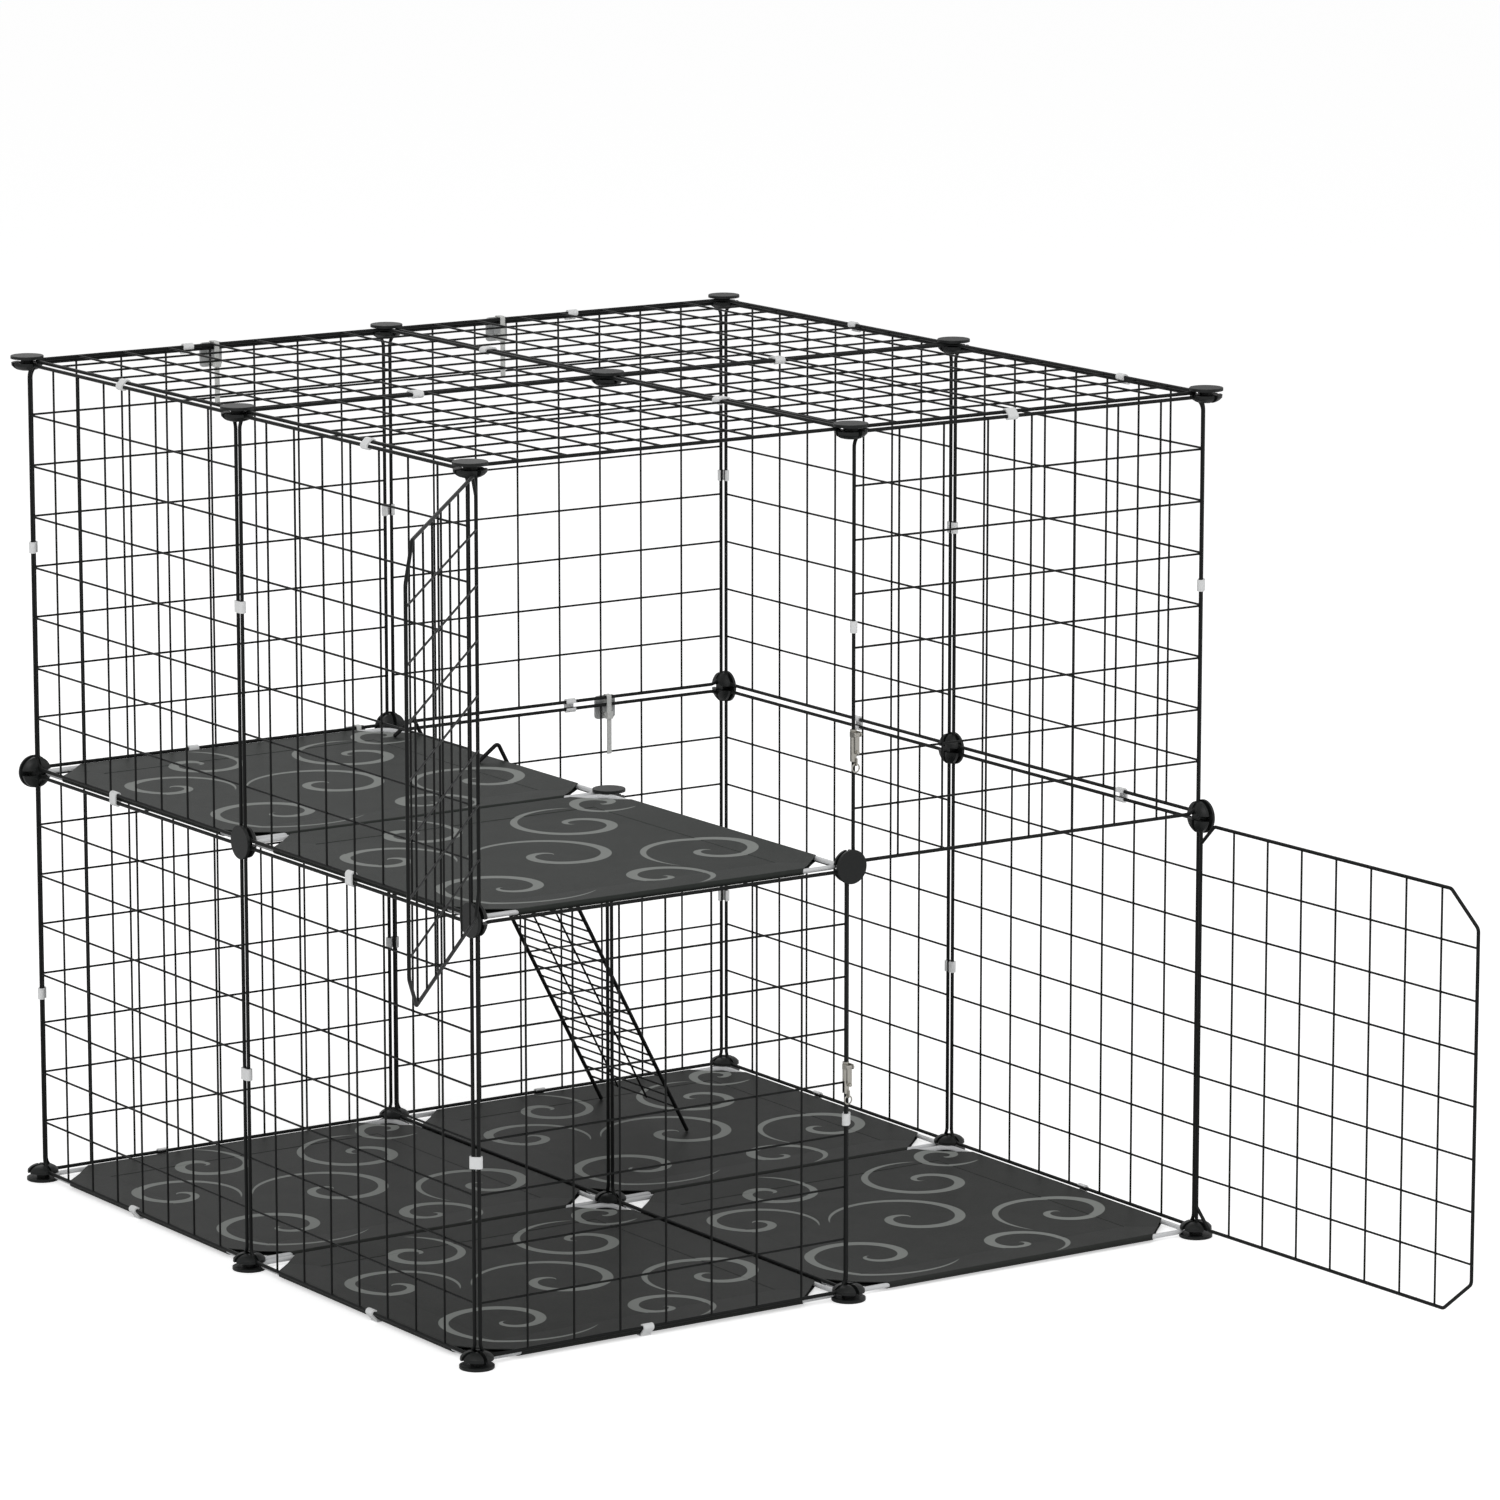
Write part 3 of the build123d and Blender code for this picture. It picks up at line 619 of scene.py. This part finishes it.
def dress(material, *starts):
    """Gives a material to every node whose name starts with one of the words."""
    found = [o for name, o in sorted(NODES.items()) if name.startswith(starts)]
    if not found:
        raise RuntimeError(f"no node starts with {starts}")
    for item in found:
        item.data.materials.clear()
        item.data.materials.append(material)


# Operators


class CATCAGE_OT_wire_panels(Operator):
    """Coats the wall and roof grids, the doors and the support frames black"""

    bl_idname = "catcage.wire_panels"
    bl_label = "Wire panels and doors"

    def execute(self, context):
        wire = context.scene.catcage_wire
        dress(powder_coat("Black wire coat", wire.coat, wire.grain), "grid_", "door_", "support_frame")
        return {"FINISHED"}


class CATCAGE_OT_ramp(Operator):
    """Coats the hooked ramp"""

    bl_idname = "catcage.ramp"
    bl_label = "Ramp"

    def execute(self, context):
        wire = context.scene.catcage_wire
        dress(powder_coat("Ramp coat", wire.ramp_coat, wire.grain, (0.40, 0.56)), "ramp")
        return {"FINISHED"}


class CATCAGE_OT_rods(Operator):
    """Coats the floor and platform rods white"""

    bl_idname = "catcage.rods"
    bl_label = "Floor and platform rods"

    def execute(self, context):
        wire = context.scene.catcage_wire
        dress(rod_coat(wire.rod_coat, wire.grain), "floor_frame", "platform_frame")
        return {"FINISHED"}


class CATCAGE_OT_sheets(Operator):
    """Prints the floor and platform sheets with scrolls"""

    bl_idname = "catcage.sheets"
    bl_label = "Printed sheets"

    def execute(self, context):
        sheet = context.scene.catcage_sheet
        print_values = (sheet.scroll, sheet.band, sheet.pitch)
        dress(printed_sheet("Platform sheet", sheet.platform, *print_values), "platform_sheet")
        # The floor sheets get their slightly darker colour: painted shade
        dress(printed_sheet("Floor sheet", sheet.floor, *print_values), "floor_sheet")
        return {"FINISHED"}


class CATCAGE_OT_connectors(Operator):
    """Moulds the connectors in black plastic"""

    bl_idname = "catcage.connectors"
    bl_label = "Connectors"

    def execute(self, context):
        plastic = context.scene.catcage_plastic
        material = moulded_plastic(
            "Black moulded plastic",
            plastic.connector,
            plastic.edge,
            rub=3.0,
            rough=(0.32, 0.5),
            cover=0.05,
            gloss=0.3,
        )
        dress(material, "connectors_")
        return {"FINISHED"}


class CATCAGE_OT_clips(Operator):
    """Moulds the wire clips in white plastic"""

    bl_idname = "catcage.clips"
    bl_label = "Clips"

    def execute(self, context):
        plastic = context.scene.catcage_plastic
        material = moulded_plastic(
            "White moulded plastic",
            plastic.clip,
            plastic.edge,
            rub=1.15,
            rough=(0.34, 0.5),
            cover=0.06,
            soft=0.15,
        )
        dress(material, "clips_")
        return {"FINISHED"}


class CATCAGE_OT_anchors(Operator):
    """Finishes the wall pads and their nylon ties"""

    bl_idname = "catcage.anchors"
    bl_label = "Wall anchors"

    def execute(self, context):
        plastic = context.scene.catcage_plastic
        pad = moulded_plastic(
            "Frosted pad plastic",
            plastic.pad,
            plastic.edge,
            rub=1.3,
            rough=(0.3, 0.46),
            cover=0.1,
            soft=0.2,
        )
        tie = moulded_plastic(
            "Natural nylon",
            plastic.tie,
            plastic.edge,
            rub=1.2,
            rough=(0.36, 0.52),
            cover=0.05,
            soft=0.3,
        )
        dress(pad, "anchor_pads")
        dress(tie, "anchor_ties")
        return {"FINISHED"}


class CATCAGE_OT_clasps(Operator):
    """Plates the clasps, their levers and rings"""

    bl_idname = "catcage.clasps"
    bl_label = "Clasps"

    def execute(self, context):
        clasp = context.scene.catcage_clasp
        dress(nickel_plate(clasp.plate, clasp.roughness), "clasp_")
        return {"FINISHED"}


def area_light(name, at, power):
    """A square lamp at a point, facing the middle of the cage."""
    data = bpy.data.lights.new(name, "AREA")
    data.size = LAMP_SIZE
    data.energy = power
    lamp = bpy.data.objects.new(name, data)
    lamp.location = at
    lamp.rotation_euler = (Vector(LAMP_AIM) - Vector(at)).to_track_quat("-Z", "Y").to_euler()
    bpy.context.scene.collection.objects.link(lamp)


class CATCAGE_OT_stage(Operator):
    """Builds the white studio floor, the lamps and the camera"""

    bl_idname = "catcage.stage"
    bl_label = "Studio"

    def execute(self, context):
        stage = context.scene.catcage_stage
        half = stage.floor_size / 2
        mesh = bpy.data.meshes.new("Studio floor")
        mesh.from_pydata(
            [(-half, -half, 0), (half, -half, 0), (half, half, 0), (-half, half, 0)], [], [(0, 1, 2, 3)]
        )
        floor = bpy.data.objects.new("Studio floor", mesh)
        context.scene.collection.objects.link(floor)
        finish = Finish("Studio floor", FLOOR_ROUGHNESS, gloss=0.0)
        finish.shader.inputs["Base Color"].default_value = (*stage.floor_colour, 1.0)
        finish.shader.inputs["Emission Color"].default_value = (1.0, 1.0, 1.0, 1.0)
        path = finish.tree.nodes.new("ShaderNodeLightPath")
        glow = math_node(finish.tree, "MULTIPLY", path.outputs["Is Camera Ray"], FLOOR_GLOW)
        finish.tree.links.new(glow, finish.shader.inputs["Emission Strength"])
        mesh.materials.append(finish.material)

        world = bpy.data.worlds.new("Studio")
        world.use_nodes = True
        tree = world.node_tree
        tree.nodes["Background"].inputs["Color"].default_value = (1.0, 1.0, 1.0, 1.0)
        path = tree.nodes.new("ShaderNodeLightPath")
        seen = path.outputs["Is Camera Ray"]
        strength = math_node(tree, "MULTIPLY_ADD", seen, 1.0 - SKY_LIGHT, SKY_LIGHT)
        tree.links.new(strength, tree.nodes["Background"].inputs["Strength"])
        context.scene.world = world

        for lamp in LAMPS:
            area_light(*lamp)

        data = bpy.data.cameras.new("Camera")
        data.sensor_width = SENSOR_WIDTH
        data.lens = stage.lens
        data.clip_end = CAMERA_REACH
        camera = bpy.data.objects.new("Camera", data)
        camera.location = stage.camera_at
        camera.rotation_euler = (math.pi / 2 - stage.elevation, 0.0, stage.azimuth)
        context.scene.collection.objects.link(camera)
        context.scene.camera = camera
        context.scene.view_settings.view_transform = "Standard"
        return {"FINISHED"}


SETTINGS = (
    ("catcage_wire", WireSettings),
    ("catcage_sheet", SheetSettings),
    ("catcage_plastic", PlasticSettings),
    ("catcage_clasp", ClaspSettings),
    ("catcage_stage", StageSettings),
)
OPERATORS = (
    CATCAGE_OT_wire_panels,
    CATCAGE_OT_ramp,
    CATCAGE_OT_rods,
    CATCAGE_OT_sheets,
    CATCAGE_OT_connectors,
    CATCAGE_OT_clips,
    CATCAGE_OT_anchors,
    CATCAGE_OT_clasps,
    CATCAGE_OT_stage,
)


class CATCAGE_PT_sidebar(Panel):
    """Settings and steps of the cage's finishes"""

    bl_idname = "CATCAGE_PT_sidebar"
    bl_label = "Cat Cage"
    bl_space_type = "VIEW_3D"
    bl_region_type = "UI"
    bl_category = "Cat Cage"

    def draw(self, context):
        for attribute, settings in SETTINGS:
            box = self.layout.box()
            for field in settings.__annotations__:
                box.prop(getattr(context.scene, attribute), field)
        for operator in OPERATORS:
            self.layout.operator(operator.bl_idname)


def register():
    for attribute, settings in SETTINGS:
        bpy.utils.register_class(settings)
        setattr(bpy.types.Scene, attribute, PointerProperty(type=settings))
    for operator in OPERATORS:
        bpy.utils.register_class(operator)
    bpy.utils.register_class(CATCAGE_PT_sidebar)


def unregister():
    bpy.utils.unregister_class(CATCAGE_PT_sidebar)
    for operator in reversed(OPERATORS):
        bpy.utils.unregister_class(operator)
    for attribute, settings in reversed(SETTINGS):
        delattr(bpy.types.Scene, attribute)
        bpy.utils.unregister_class(settings)


def main():
    """Registers the add-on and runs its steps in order."""
    register()
    for operator in OPERATORS:
        family, name = operator.bl_idname.split(".")
        getattr(getattr(bpy.ops, family), name)()


if __name__ == "__main__":
    main()
